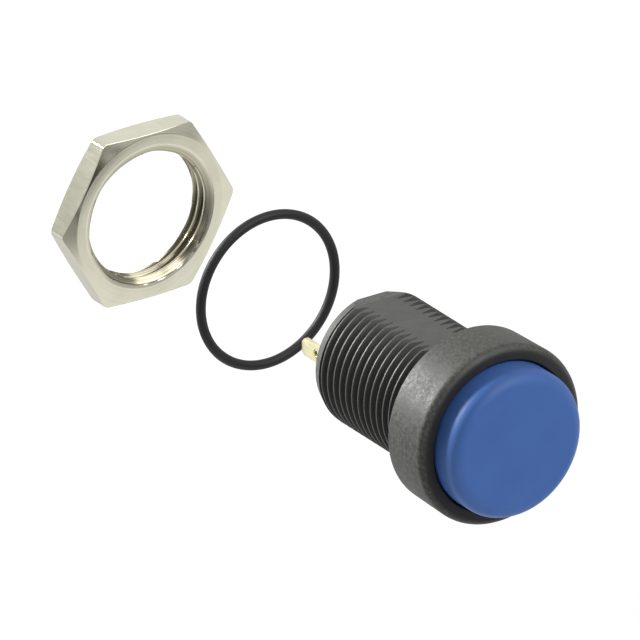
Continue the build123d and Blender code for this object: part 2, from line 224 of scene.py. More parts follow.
LAMP_AIM = (0, 10 * MM, 0)  # the place on the axis that the lamps face


# ---------------- node trees

FLOAT = "NodeSocketFloat"
GEOMETRY = "NodeSocketGeometry"
INTEGER = "NodeSocketInt"
MATERIAL = "NodeSocketMaterial"


class Wiring:
    """Adds nodes to one node tree and joins them."""

    def __init__(self, tree):
        self.tree = tree

    def feed(self, socket, value):
        """Joins a node's output to the socket, or sets the socket to a plain value."""
        if isinstance(value, bpy.types.NodeSocket):
            self.tree.links.new(value, socket)
        else:
            socket.default_value = value

    def add(self, kind, inputs=None, **settings):
        """A new node. inputs is {socket name or number: value or another node's output}."""
        node = self.tree.nodes.new(kind)
        for name, value in settings.items():
            setattr(node, name, value)
        for name, value in (inputs or {}).items():
            self.feed(node.inputs[name], value)
        return node

    def math(self, operation, *values, clamp=False):
        """The result of an operation on numbers or on other nodes' outputs."""
        node = self.add("ShaderNodeMath", dict(enumerate(values)), operation=operation)
        node.use_clamp = clamp
        return node.outputs[0]

    def mix(self, factor, first, second):
        """A colour between two colours."""
        node = self.add("ShaderNodeMix", data_type="RGBA")
        colours = [s for s in node.inputs if s.type == "RGBA"]
        self.feed(node.inputs["Factor"], factor)
        self.feed(colours[0], first)
        self.feed(colours[1], second)
        return next(s for s in node.outputs if s.type == "RGBA")


def new_tree(name, kind, inputs, outputs):
    """A node group with named sockets. inputs is {name: (socket type, plain value or None)}."""
    tree = bpy.data.node_groups.new(name, kind)
    for label, (socket_type, value) in inputs.items():
        socket = tree.interface.new_socket(label, in_out="INPUT", socket_type=socket_type)
        if value is not None:
            socket.default_value = value
    for label, socket_type in outputs.items():
        tree.interface.new_socket(label, in_out="OUTPUT", socket_type=socket_type)
    wiring = Wiring(tree)
    given = wiring.add("NodeGroupInput").outputs
    result = wiring.add("NodeGroupOutput").inputs
    return tree, wiring, given, result


def place_round(w, geometry, radius, turn, depth):
    """Moves points to a distance from the axis, after some turns round it, and to a depth."""
    angle = w.math("MULTIPLY", turn, 2 * pi)
    x = w.math("MULTIPLY", radius, w.math("SINE", angle))
    z = w.math("MULTIPLY", radius, w.math("COSINE", angle))
    place = w.add("ShaderNodeCombineXYZ", {"X": x, "Y": depth, "Z": z}).outputs[0]
    return w.add("GeometryNodeSetPosition", {"Geometry": geometry, "Position": place}).outputs[0]


def end_tree(w, mesh, given, result):
    """Ends a tree with a real mesh that has the given material."""
    real = w.add("GeometryNodeRealizeInstances", {"Geometry": mesh}).outputs[0]
    finished = w.add("GeometryNodeSetMaterial", {"Geometry": real, "Material": given["Material"]})
    w.feed(result["Geometry"], finished.outputs[0])


def threaded_turning():
    """Turns a closed outline about Y, with a thread on the rows that are marked for it.

    The outline's points hold radius, depth, and 1 on a threaded row or 0 on a plain one.
    Threaded rows climb with the helix, so its crest and root lie on the mesh's own edges. A
    countersink cuts a bore's thread back to the rim radius at both ends. A rim radius of 0
    leaves the thread whole.
    """
    tree, w, given, result = new_tree(
        "threaded_turning",
        "GeometryNodeTree",
        {
            "Outline": (GEOMETRY, None),
            "Segments": (INTEGER, SEGMENTS),
            "Pitch": (FLOAT, PITCH),
            "Depth": (FLOAT, THREAD_DEPTH),
            "Thread Radius": (FLOAT, THREAD_R),
            "Thread Front": (FLOAT, 0.0),
            "Thread Rear": (FLOAT, BUSHING_REAR),
            "Rim Radius": (FLOAT, 0.0),
            "Countersink Slope": (FLOAT, 1.0),
            "Material": (MATERIAL, None),
        },
        {"Geometry": GEOMETRY},
    )
    outline = {"Geometry": given["Outline"]}
    count = w.add("GeometryNodeAttributeDomainSize", outline).outputs["Point Count"]
    rows = w.math("ADD", count, 1)
    columns = w.math("ADD", given["Segments"], 1)
    grid = w.add("GeometryNodeMeshGrid", {"Vertices X": columns, "Vertices Y": rows}).outputs["Mesh"]

    index = w.add("GeometryNodeInputIndex").outputs[0]
    column = w.math("FLOOR", w.math("DIVIDE", w.math("ADD", index, 0.5), rows))
    turn = w.math("DIVIDE", column, given["Segments"])
    row = w.math("MODULO", w.math("MODULO", index, rows), count)
    row = w.math("FLOOR", w.math("ADD", row, 0.5))
    position = w.add("GeometryNodeInputPosition").outputs[0]
    wanted = {"Geometry": given["Outline"], "Value": position, "Index": row}
    sample = w.add("GeometryNodeSampleIndex", wanted, data_type="FLOAT_VECTOR").outputs[0]
    point = w.add("ShaderNodeSeparateXYZ", {0: sample}).outputs
    radius, depth, threaded = point["X"], point["Y"], point["Z"]

    climbed = w.math("MULTIPLY_ADD", given["Pitch"], turn, depth)
    climbed = w.math("MAXIMUM", climbed, given["Thread Front"])
    climbed = w.math("MINIMUM", climbed, given["Thread Rear"])
    place = w.math("MULTIPLY_ADD", threaded, w.math("SUBTRACT", climbed, depth), depth)

    turns_in = w.math("DIVIDE", place, given["Pitch"])
    phase = w.math("FRACT", w.math("ADD", w.math("SUBTRACT", turns_in, turn), PHASE_SHIFT))
    down = w.math("DIVIDE", w.math("SUBTRACT", phase, CREST_SHARE), FLANK_SHARE)
    up = w.math("DIVIDE", w.math("SUBTRACT", 1.0, phase), FLANK_SHARE)
    groove = w.math("SMOOTH_MIN", w.math("MINIMUM", down, up), 1.0, THREAD_ROUNDING)
    groove = w.math("SMOOTH_MAX", groove, 0.0, THREAD_ROUNDING)
    thread = w.math("SUBTRACT", given["Thread Radius"], w.math("MULTIPLY", given["Depth"], groove))

    to_rear = w.math("SUBTRACT", given["Thread Rear"], place)
    to_front = w.math("SUBTRACT", place, given["Thread Front"])
    to_end = w.math("MINIMUM", to_rear, to_front)
    narrower = w.math("MULTIPLY", to_end, given["Countersink Slope"])
    cut = w.math("MAXIMUM", thread, w.math("SUBTRACT", given["Rim Radius"], narrower))
    radius = w.math("MULTIPLY_ADD", threaded, w.math("SUBTRACT", cut, radius), radius)

    turned = place_round(w, grid, radius, turn, place)
    closed = w.add("GeometryNodeMergeByDistance", {"Geometry": turned, "Distance": MERGE})
    end_tree(w, closed.outputs[0], given, result)
    return tree


def coil_spring():
    """A compression spring along Y, from Front to Rear, with one closed turn at each end."""
    tree, w, given, result = new_tree(
        "coil_spring",
        "GeometryNodeTree",
        {
            "Front": (FLOAT, 0.0),
            "Rear": (FLOAT, 10 * MM),
            "Mean Radius": (FLOAT, 4 * MM),
            "Wire": (FLOAT, RETURN_WIRE),
            "Turns": (FLOAT, RETURN_TURNS),
            "Material": (MATERIAL, None),
        },
        {"Geometry": GEOMETRY},
    )
    points = w.math("MULTIPLY", given["Turns"], COIL_STEPS)
    line = w.add("GeometryNodeCurvePrimitiveLine").outputs[0]
    wire_line = w.add("GeometryNodeResampleCurve", {"Curve": line, "Count": points}).outputs[0]
    along_wire = w.add("GeometryNodeSplineParameter").outputs["Factor"]
    wound = w.math("MULTIPLY", along_wire, given["Turns"])

    # A closed turn climbs by the wire's width, and the open turns share the room that is left
    open_turns = w.math("SUBTRACT", given["Turns"], 2.0)
    opened = w.math("MAXIMUM", w.math("SUBTRACT", wound, 1.0), 0.0)
    opened = w.math("MINIMUM", opened, open_turns)
    closed = w.math("SUBTRACT", wound, opened)
    length = w.math("SUBTRACT", given["Rear"], given["Front"])
    room = w.math("SUBTRACT", length, w.math("MULTIPLY", given["Wire"], 3.0))
    climb = w.math("MULTIPLY", opened, w.math("DIVIDE", room, open_turns))
    climb = w.math("MULTIPLY_ADD", closed, given["Wire"], climb)
    half_wire = w.math("MULTIPLY", given["Wire"], 0.5)
    depth = w.math("ADD", w.math("ADD", given["Front"], half_wire), climb)

    helix = place_round(w, wire_line, given["Mean Radius"], wound, depth)
    circle = {"Resolution": WIRE_SIDES, "Radius": half_wire}
    section = w.add("GeometryNodeCurvePrimitiveCircle", circle).outputs[0]
    swept = {"Curve": helix, "Profile Curve": section, "Fill Caps": True}
    end_tree(w, w.add("GeometryNodeCurveToMesh", swept).outputs[0], given, result)
    return tree


TURNING = threaded_turning()
COIL = coil_spring()


# ---------------- mesh helpers


def new_object(name, data):
    """An object in the scene for a mesh, a lamp or a camera."""
    piece = bpy.data.objects.new(name, data)
    bpy.context.scene.collection.objects.link(piece)
    return piece


def object_from(name, points, faces=()):
    """An object with a mesh of points, and of faces that are lists of point numbers."""
    mesh = bpy.data.meshes.new(name)
    mesh.from_pydata(points, [], faces)
    return new_object(name, mesh)


def object_of(name, work):
    """An object with the mesh that was worked on, which is then freed."""
    piece = new_object(name, bpy.data.meshes.new(name))
    work.to_mesh(piece.data)
    work.free()
    return piece


def block(name, centre, size):
    """A plain box."""
    work = bmesh.new()
    place = Matrix.Translation(centre) @ Matrix.Diagonal((*size, 1))
    bmesh.ops.create_cube(work, size=1, matrix=place)
    return object_of(name, work)


def settle(piece):
    """Takes the evaluated mesh of a piece as its own, and drops its modifiers."""
    depsgraph = bpy.context.evaluated_depsgraph_get()
    depsgraph.update()
    mesh = bpy.data.meshes.new_from_object(piece.evaluated_get(depsgraph))
    mesh.name = piece.name
    piece.modifiers.clear()
    piece.data = mesh
    return piece


def tidy_mesh(piece, crease=SHARP_TURN):
    """Merges doubles, points every face outwards, and shades smooth but for the sharp edges."""
    mesh = piece.data
    work = bmesh.new()
    work.from_mesh(mesh)
    bmesh.ops.remove_doubles(work, verts=work.verts, dist=MERGE / 2)
    bmesh.ops.dissolve_degenerate(work, edges=work.edges, dist=MERGE / 10)
    bmesh.ops.recalc_face_normals(work, faces=work.faces)
    work.to_mesh(mesh)
    work.free()
    mesh.shade_smooth()
    mesh.set_sharp_from_angle(angle=crease)
    return piece


def keep_flats_plain(piece):
    """Weighs the shading normals by area, so a flat stays plain beside its rounded edges."""
    modifier = piece.modifiers.new("flats", "WEIGHTED_NORMAL")
    modifier.keep_sharp = True
    modifier.weight = 90
    return settle(piece)


def grow(piece, tree, values):
    """Runs a geometry tree on a piece with values for its named inputs, and keeps the result."""
    modifier = piece.modifiers.new(tree.name, "NODES")
    modifier.node_group = tree
    named = {s.name: s.identifier for s in tree.interface.items_tree if s.in_out == "INPUT"}
    for name, value in values.items():
        modifier[named[name]] = value
    return settle(piece)


def carve(piece, cutter, operation):
    """Combines a piece with another closed mesh, which is then dropped."""
    modifier = piece.modifiers.new("carve", "BOOLEAN")
    modifier.operation = operation
    modifier.solver = "MANIFOLD"
    modifier.object = cutter
    settle(piece)
    bpy.data.objects.remove(cutter)
    return piece


def round_edges(work, edges, width, segments, clamp=False):
    """Rounds edges of a mesh that is being worked on."""
    options = {"profile": 0.5, "affect": "EDGES", "clamp_overlap": clamp}
    bmesh.ops.bevel(work, geom=edges, offset=width, segments=segments, **options)


def soften(piece, width, angle, near):
    """Rounds the edges that turn by more than the angle, where near(point) holds for both ends."""
    work = bmesh.new()
    work.from_mesh(piece.data)
    edges = []
    for edge in work.edges:
        if edge.is_manifold and edge.calc_face_angle() > angle and all(near(v.co) for v in edge.verts):
            edges.append(edge)
    round_edges(work, edges, width, segments=3, clamp=True)
    work.to_mesh(piece.data)
    work.free()
    return piece


def corner_arc(centre, radius, start, end, steps=8):
    """(radius, depth) points on an arc. Angles are from the outward direction towards the rear."""
    points = []
    for step in range(steps + 1):
        angle = start + (end - start) * step / steps
        points.append((centre[0] + radius * cos(angle), centre[1] + radius * sin(angle)))
    return points


def turned_threaded(name, outline, values, crease=SHARP_TURN):
    """A piece turned by the turning tree from a closed outline of (radius, depth) points.

    The rows of a thread also hold a 1. The others get a 0.
    """
    marked = [point if len(point) == 3 else (*point, 0.0) for point in outline]
    piece = object_from(name, marked)
    grow(piece, TURNING, {"Segments": SEGMENTS, **values})
    return tidy_mesh(piece, crease)


def thread_rows(front, rear):
    """Outline rows for one thread, from one turn in front of it to one turn behind it.

    They are counted in whole turns from the frame's origin, so a nut that has moved by whole
    turns meshes with the bushing.
    """
    rows = []
    for turn in range(floor(front / PITCH) - 1, ceil(rear / PITCH)):
        for share in THREAD_ROWS:
            rows.append((THREAD_R, (turn + share) * PITCH, 1.0))
    rows.append((THREAD_R, rear + PITCH, 1.0))
    return rows


def circle_points(radius, steps):
    """(x, z) points round the axis."""
    angles = [2 * pi * step / steps for step in range(steps)]
    return [(radius * sin(angle), radius * cos(angle)) for angle in angles]


def capped_rings(name, start, rings, end):
    """A closed mesh of rings of points round the axis. Start and end are its depths on the axis."""
    points = [(0, start, 0)]
    for ring in rings:
        points += ring
    points.append((0, end, 0))
    count = len(rings[0])
    last = len(points) - 1 - count
    faces = []
    for step in range(count):
        after = (step + 1) % count
        faces.append((0, 1 + after, 1 + step))
        for near in range(1, last, count):
            far = near + count
            faces.append((near + step, near + after, far + after, far + step))
        faces.append((last + step, last + after, len(points) - 1))
    return object_from(name, points, faces)


# ---------------- materials

RING_DRIFT = 60.0  # how fast a ring's tone changes on its way round, for each metre
RING_DEPTH_SHARE = 0.7  # what a step in depth counts for in the rings, beside one in radius
LINE_STRETCH = 0.03  # how much slower a line changes along the axis than across it


def ramp(w, value, low, high, bottom=0.0, top=1.0):
    """Maps a value between two limits to another range, and holds it there."""
    limits = {"From Min": low, "From Max": high, "To Min": bottom, "To Max": top}
    return w.add("ShaderNodeMapRange", {"Value": value, **limits}).outputs[0]


def bump(w, height, distance, strength=1.0):
    """The surface's normal, tilted by a height."""
    node = w.add("ShaderNodeBump", {"Height": height, "Distance": distance, "Strength": strength})
    return node.outputs["Normal"]


def noise(w, place, scale, detail, roughness):
    """Noise from 0 to 1, about a half on the average."""
    inputs = {"Vector": place, "Scale": scale, "Detail": detail, "Roughness": roughness}
    return w.add("ShaderNodeTexNoise", inputs).outputs[0]


def sharpen(w, value, contrast):
    """Moves a noise away from its average, and holds it from 0 to 1."""
    return w.math("MULTIPLY_ADD", w.math("SUBTRACT", value, 0.5), contrast, 0.5, clamp=True)


def grey(value):
    """An opaque grey, or white at 1."""
    return (value, value, value, 1)


def fine_grain():
    """Grain of a moulded surface: a fine tone, a broad patch, and the fine grain's height."""
    tree, w, given, result = new_tree(
        "fine_grain",
        "ShaderNodeTree",
        {"Size": (FLOAT, 0.2 * MM), "Patch Size": (FLOAT, 2 * MM), "Contrast": (FLOAT, 0.5)},
        {"Tone": FLOAT, "Patch": FLOAT, "Height": FLOAT},
    )
    place = w.add("ShaderNodeTexCoord").outputs["Object"]
    fine = noise(w, place, w.math("DIVIDE", 1.0, given["Size"]), 3.0, 0.6)
    patch = noise(w, place, w.math("DIVIDE", 1.0, given["Patch Size"]), 4.0, 0.6)
    w.feed(result["Tone"], sharpen(w, fine, w.math("MULTIPLY", given["Contrast"], 2.0)))
    w.feed(result["Patch"], sharpen(w, patch, 2.0))
    w.feed(result["Height"], fine)
    return tree


def axis_distance():
    """Where a point is: its distance from the axis, its depth along it, across and up."""
    outputs = {"Radius": FLOAT, "Depth": FLOAT, "Across": FLOAT, "Up": FLOAT}
    tree, w, _, result = new_tree("axis_distance", "ShaderNodeTree", {}, outputs)
    place = w.add("ShaderNodeTexCoord").outputs["Object"]
    point = w.add("ShaderNodeSeparateXYZ", {0: place}).outputs
    squares = w.math("ADD", w.math("POWER", point["X"], 2.0), w.math("POWER", point["Z"], 2.0))
    w.feed(result["Radius"], w.math("SQRT", squares))
    w.feed(result["Depth"], point["Y"])
    w.feed(result["Across"], point["X"])
    w.feed(result["Up"], point["Z"])
    return tree


def tool_lines():
    """Fine lines left by a tool: rings round the axis on what is turned, or lines along it."""
    tree, w, given, result = new_tree(
        "tool_lines",
        "ShaderNodeTree",
        {"Ring Pitch": (FLOAT, 0.1 * MM), "Line Pitch": (FLOAT, 0.1 * MM)},
        {"Rings": FLOAT, "Lines": FLOAT},
    )
    where = use_group(w, "axis_distance")
    cut = w.math("MULTIPLY_ADD", where["Depth"], RING_DEPTH_SHARE, where["Radius"])
    ring = {
        "X": w.math("DIVIDE", cut, given["Ring Pitch"]),
        "Y": w.math("MULTIPLY", where["Across"], RING_DRIFT),
        "Z": w.math("MULTIPLY", where["Up"], RING_DRIFT),
    }
    line_scale = w.math("DIVIDE", 1.0, given["Line Pitch"])
    line = {
        "X": w.math("MULTIPLY", where["Across"], line_scale),
        "Y": w.math("MULTIPLY", where["Depth"], w.math("MULTIPLY", line_scale, LINE_STRETCH)),
        "Z": w.math("MULTIPLY", where["Up"], line_scale),
    }
    around = w.add("ShaderNodeCombineXYZ", ring).outputs[0]
    lengthwise = w.add("ShaderNodeCombineXYZ", line).outputs[0]
    w.feed(result["Rings"], noise(w, around, 1.0, 2.0, 0.6))
    w.feed(result["Lines"], noise(w, lengthwise, 1.0, 3.0, 0.65))
    return tree


def edge_band():
    """0 up to one distance from the axis, and 1 from another outwards."""
    tree, w, given, result = new_tree(
        "edge_band",
        "ShaderNodeTree",
        {"From": (FLOAT, 0.0), "To": (FLOAT, 1 * MM)},
        {"Mask": FLOAT},
    )
    past = w.math("SUBTRACT", use_group(w, "axis_distance")["Radius"], given["From"])
    span = w.math("SUBTRACT", given["To"], given["From"])
    w.feed(result["Mask"], w.math("DIVIDE", past, span, clamp=True))
    return tree


def start_material(name, **settings):
    """A material with a Principled shader, whose plain values are set by socket name."""
    material = bpy.data.materials.new(name)
    material.use_nodes = True
    shader = material.node_tree.nodes["Principled BSDF"]
    for socket, value in settings.items():
        shader.inputs[socket.replace("_", " ")].default_value = value
    return material, Wiring(material.node_tree), shader.inputs


def use_group(w, name, **values):
    """Places a shared group with its own values, and gives its outputs."""
    node = w.add("ShaderNodeGroup", node_tree=GROUPS[name])
    for label, value in values.items():
        w.feed(node.inputs[label.replace("_", " ")], value)
    return node.outputs


GROUPS = {}
for build in (fine_grain, axis_distance, tool_lines, edge_band):
    GROUPS[build.__name__] = build()


def moulding_material():
    """Black glass-filled moulding, smooth and dark.

    The bezel's side and the bushing's rear taper are rough and mottled grey: partly their own
    textured skin, partly painted sheen. The flat is paler: partly its own matte skin, partly painted
    light on its upward face. The thread's crests are lighter: partly worn, partly a painted highlight.
    """
    material, w, shader = start_material("black_glass_filled_moulding", IOR=1.5, Specular_IOR_Level=0.55)
    grain = use_group(w, "fine_grain", Size=0.16 * MM, Patch_Size=1.6 * MM, Contrast=0.9)
    mottle = use_group(w, "fine_grain", Size=0.34 * MM, Patch_Size=1.3 * MM, Contrast=1.6)
    where = use_group(w, "axis_distance")
    depth = where["Depth"]

    side = use_group(w, "edge_band", From=BEZEL_FRONT_R - 0.6 * MM, To=BEZEL_FRONT_R - 0.3 * MM)["Mask"]
    past_thread = ramp(w, depth, THREAD_END + 0.02 * MM, THREAD_END + 0.1 * MM)
    outside_bore = ramp(w, where["Radius"], BASE_BORE_R, BASE_BORE_R + 0.2 * MM)
    taper = w.math("MULTIPLY", past_thread, outside_bore)
    behind_bezel = ramp(w, depth, 0.0, 0.05 * MM)
    crest = use_group(w, "edge_band", From=THREAD_R - 0.12 * MM, To=THREAD_R - 0.01 * MM)["Mask"]
    # Painted highlight: the crests are lighter where light catches them, and partly worn
    crest_wear_and_highlight = ramp(w, grain["Tone"], 0.1, 0.8, 0.25, 0.95)
    rubbed_and_highlit_crest = w.math("MULTIPLY", w.math("MULTIPLY", crest, behind_bezel), crest_wear_and_highlight)
    at_flat = ramp(w, where["Up"], FLAT_HEIGHT - 0.03 * MM, FLAT_HEIGHT - 0.01 * MM)
    flat = w.math("MULTIPLY", behind_bezel, at_flat)

    body = w.mix(grain["Tone"], (0.005, 0.005, 0.0047, 1), (0.015, 0.015, 0.0138, 1))
    body = w.mix(rubbed_and_highlit_crest, body, (0.056, 0.055, 0.049, 1))
    # Painted top light: the upward flat is paler, partly its own matte skin
    flat_skin_and_top_light = w.mix(mottle["Patch"], (0.036, 0.037, 0.033, 1), (0.056, 0.057, 0.052, 1))
    body = w.mix(flat, body, flat_skin_and_top_light)
    # Painted sheen: the bezel's side is lighter grey, partly its own textured skin
    side_skin_and_sheen = w.mix(mottle["Tone"], (0.018, 0.0184, 0.0150, 1), (0.074, 0.075, 0.064, 1))
    body = w.mix(side, body, side_skin_and_sheen)
    # Painted sheen: the rear taper is lighter grey, partly its own textured skin
    taper_skin_and_sheen = w.mix(mottle["Tone"], (0.035, 0.035, 0.032, 1), (0.12, 0.12, 0.113, 1))
    w.feed(shader["Base Color"], w.mix(w.math("MULTIPLY", taper, 0.8), body, taper_skin_and_sheen))

    smooth = ramp(w, grain["Patch"], 0.2, 0.8, 0.48, 0.58)
    mottled = ramp(w, mottle["Patch"], 0.15, 0.85, 0.45, 0.55)
    rough = w.math("ADD", mottled, w.math("MULTIPLY", mottle["Tone"], 0.18))
    is_rough = w.math("MAXIMUM", side, taper)
    roughness = w.math("MULTIPLY_ADD", is_rough, w.math("SUBTRACT", rough, smooth), smooth)
    w.feed(shader["Roughness"], roughness)
    height = w.math("MULTIPLY_ADD", mottle["Tone"], w.math("MULTIPLY", side, 0.9), grain["Height"])
    w.feed(shader["Normal"], bump(w, height, 0.02 * MM, 0.4))
    return material


def cap_material():
    """Blue moulding of the button: satin, with a very fine even texture."""
    material, w, shader = start_material("blue_button_moulding", IOR=1.47, Specular_IOR_Level=0.32)
    grain = use_group(w, "fine_grain", Size=0.12 * MM, Patch_Size=5 * MM, Contrast=0.5)
    body = w.mix(grain["Patch"], (0.048, 0.126, 0.38, 1), (0.054, 0.140, 0.41, 1))
    colour = w.mix(w.math("MULTIPLY", grain["Tone"], 0.35), body, (0.058, 0.147, 0.42, 1))
    w.feed(shader["Base Color"], colour)
    w.feed(shader["Roughness"], ramp(w, grain["Patch"], 0.2, 0.8, 0.42, 0.50))
    w.feed(shader["Normal"], bump(w, grain["Height"], 0.01 * MM, 0.2))
    return material


def rubber_material():
    """Matte black rubber, with a faint bloom."""
    material, w, shader = start_material("black_seal_rubber", IOR=1.5, Specular_IOR_Level=0.35)
    grain = use_group(w, "fine_grain", Size=0.1 * MM, Patch_Size=3 * MM, Contrast=0.8)
    colour = w.mix(grain["Patch"], (0.007, 0.007, 0.008, 1), grey(0.014))
    w.feed(shader["Base Color"], colour)
    w.feed(shader["Roughness"], ramp(w, grain["Tone"], 0.0, 1.0, 0.48, 0.62))
    w.feed(shader["Normal"], bump(w, grain["Height"], 0.01 * MM, 0.3))
    return material


def nickel_material():
    """Nickel plate on a turned brass nut.

    Rings lie where it is turned, and drawn lines along its flats. Down in the thread, and less in
    the countersink, it is darker and browner: painted shade in the bore's recesses.
    """
    material, w, shader = start_material("nickel_plated_brass", Metallic=1.0)
    lines = use_group(w, "tool_lines", Ring_Pitch=0.12 * MM, Line_Pitch=0.075 * MM)
    grain = use_group(w, "fine_grain", Size=0.25 * MM, Patch_Size=2.2 * MM, Contrast=0.6)
    where = use_group(w, "axis_distance")
    depth = where["Depth"]

    normal = w.add("ShaderNodeNewGeometry").outputs["Normal"]
    facing = w.math("ABSOLUTE", w.add("ShaderNodeSeparateXYZ", {0: normal}).outputs["Y"])
    is_face = ramp(w, facing, 0.6, 0.8)
    in_bore = ramp(w, where["Radius"], NUT_BORE_R, NUT_BORE_R + 0.1 * MM, 1.0, 0.0)
    turned = w.math("MAXIMUM", is_face, in_bore)
    ring_or_line = w.math("SUBTRACT", lines["Rings"], lines["Lines"])
    streak = w.math("MULTIPLY_ADD", turned, ring_or_line, lines["Lines"])

    # Painted shade: the thread down in the bore, and the countersink less, get a darker brown
    to_front = w.math("SUBTRACT", depth, NUT[0].y)
    to_rear = w.math("SUBTRACT", NUT[1].y, depth)
    past_countersink = ramp(w, w.math("MINIMUM", to_front, to_rear), 0.1 * MM, 0.34 * MM, 0.45, 1.0)
    crest_r = NUT_BORE_R - NUT_THREAD_DEPTH
    below_crest = use_group(w, "edge_band", From=crest_r, To=crest_r + 0.1 * MM)["Mask"]
    in_thread = w.math("MULTIPLY", w.math("MULTIPLY", below_crest, in_bore), past_countersink)

    body = w.mix(grain["Patch"], (0.60, 0.58, 0.46, 1), (0.69, 0.67, 0.535, 1))
    body = w.mix(ramp(w, streak, 0.35, 0.65, 0.0, 0.4), body, (0.77, 0.755, 0.63, 1))
    painted_thread_shade = w.mix(ramp(w, streak, 0.35, 0.62), (0.09, 0.077, 0.050, 1), (0.34, 0.31, 0.22, 1))
    w.feed(shader["Base Color"], w.mix(w.math("MULTIPLY", in_thread, 0.92), body, painted_thread_shade))
    dulled = w.math("MULTIPLY", is_face, 0.08)
    w.feed(shader["Roughness"], w.math("ADD", dulled, ramp(w, streak, 0.3, 0.7, 0.06, 0.11)))
    w.feed(shader["Normal"], bump(w, streak, 0.010 * MM, 0.35))
    return material


def plated_material(name, dark, light, roughness):
    """A plated or drawn metal with fine lines along it."""
    material, w, shader = start_material(name, Metallic=1.0)
    lines = use_group(w, "tool_lines", Ring_Pitch=0.08 * MM, Line_Pitch=0.07 * MM)["Lines"]
    w.feed(shader["Base Color"], w.mix(ramp(w, lines, 0.3, 0.7), dark, light))
    w.feed(shader["Roughness"], ramp(w, lines, 0.3, 0.7, roughness, roughness + 0.12))
    w.feed(shader["Normal"], bump(w, lines, 0.004 * MM, 0.4))
    return material


def plain_moulding_material(name, dark, light, roughness):
    """A small moulded piece inside the switch."""
    material, w, shader = start_material(name, IOR=1.5)
    grain = use_group(w, "fine_grain", Size=0.15 * MM, Patch_Size=1.5 * MM, Contrast=0.6)
    w.feed(shader["Base Color"], w.mix(grain["Patch"], dark, light))
    w.feed(shader["Roughness"], ramp(w, grain["Tone"], 0.0, 1.0, roughness, roughness + 0.12))
    w.feed(shader["Normal"], bump(w, grain["Height"], 0.01 * MM, 0.3))
    return material


FINISH = {
    "black_moulding": moulding_material(),
    "blue_cap": cap_material(),
    "black_rubber": rubber_material(),
    "nickel_plate": nickel_material(),
    "natural_moulding": plain_moulding_material(
        "natural_bearing_moulding", (0.72, 0.70, 0.64, 1), (0.80, 0.78, 0.72, 1), roughness=0.35
    ),
    "base_moulding": plain_moulding_material(
        "black_base_moulding", (0.030, 0.030, 0.031, 1), (0.045, 0.045, 0.046, 1), roughness=0.45
    ),
    "black_potting": plain_moulding_material(
        "black_potting_resin", (0.012, 0.012, 0.013, 1), (0.022, 0.022, 0.023, 1), roughness=0.22
    ),
    "spring_steel": plated_material(
        "bright_spring_steel", (0.50, 0.50, 0.51, 1), (0.66, 0.66, 0.67, 1), roughness=0.22
    ),
    "contact_silver": plated_material(
        "silver_contact_alloy", (0.76, 0.75, 0.72, 1), (0.86, 0.85, 0.82, 1), roughness=0.25
    ),
    "gold_plate": plated_material(
        "thin_gold_plate", (0.96, 0.88, 0.54, 1), (1.0, 0.95, 0.66, 1), roughness=0.22
    ),
}


# ---------------- pieces


def finish(piece, slot):
    """Gives a piece the material of its slot, and no other."""
    piece.data.materials.clear()
    piece.data.materials.append(FINISH[slot])


def dress(piece, body, slot, *nodes):
    """Gives a finished piece the finish of its slot and its body, and hides the nodes that it stands
    for.
    """
    finish(piece, slot)
    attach(piece, body)
    if nodes:
        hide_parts(*nodes)
    return piece


def threaded_housing():
    """Bezel and bushing: one moulding, threaded outside, with a flat along the thread."""
    well_r = BUTTON_R + WELL_GAP
    rear_r = BEZEL_FRONT_R - BEZEL_DRAFT
    lead_r = THREAD_R - LEAD_IN_DEPTH
    lead_rear = BUSHING_REAR - LEAD_IN_EDGE
    front_edge = (BEZEL_FRONT_R - BEZEL_EDGE, BEZEL_FRONT + BEZEL_EDGE)
    rear_edge = (rear_r - BEZEL_REAR_EDGE, -BEZEL_REAR_EDGE)
    outline = [(well_r + WELL_LIP, BEZEL_FRONT)]
    outline += corner_arc(front_edge, BEZEL_EDGE, -pi / 2, 0)
    outline += [(rear_r + BEZEL_REAR_EDGE, -BEZEL_REAR_CHAMFER)]
    outline += corner_arc(rear_edge, BEZEL_REAR_EDGE, 0, pi / 2, steps=4)
    outline += thread_rows(0.0, THREAD_END)
    outline += [
        (THREAD_R - LEAD_IN_START[0], THREAD_END + LEAD_IN_START[1]),
        (lead_r, lead_rear),
    ]
    lead_edge = (lead_r - LEAD_IN_EDGE, lead_rear)
    outline += corner_arc(lead_edge, LEAD_IN_EDGE, LEAD_IN_ANGLE, pi / 2, steps=4)
    outline += [
        (BASE_BORE_R + LEAD_IN_EDGE, BUSHING_REAR),
        (BASE_BORE_R, lead_rear),
        (BASE_BORE_R, BASE_LEDGE),
        (CHAMBER_R, BASE_LEDGE),
        (CHAMBER_R, WEB_REAR),
        (STEM_BORE_R, WEB_REAR),
        (STEM_BORE_R, SEAL_BORE_END),
        (SEAL_BORE_R, SEAL_BORE_END),
        (SEAL_BORE_R, GUIDE_FRONT),
        (GUIDE_R, GUIDE_FRONT),
        (GUIDE_R, WEB_FRONT),
        (CHAMBER_R, WEB_FRONT),
        (CHAMBER_R, WELL_FLOOR),
        (well_r, WELL_FLOOR),
        (well_r, BEZEL_FRONT + WELL_LIP),
    ]
    thread = {"Thread Radius": THREAD_R, "Depth": THREAD_DEPTH, "Thread Rear": THREAD_END}
    piece = turned_threaded("housing_moulding", outline, thread)

    length = BUSHING_REAR + OVERCUT
    middle = (0, length / 2, FLAT_HEIGHT + THREAD_R / 2)
    above_flat = block("flat_cutter", middle, (2 * THREAD_R, length, THREAD_R))
    tidy_mesh(carve(piece, above_flat, "DIFFERENCE"))

    # The flat's own faces are shaded plain
    for face in piece.data.polygons:
        if face.normal.z > 0.999 and abs(face.center.z - FLAT_HEIGHT) < MERGE:
            face.use_smooth = False
    return dress(piece, "housing", "black_moulding", "housing")


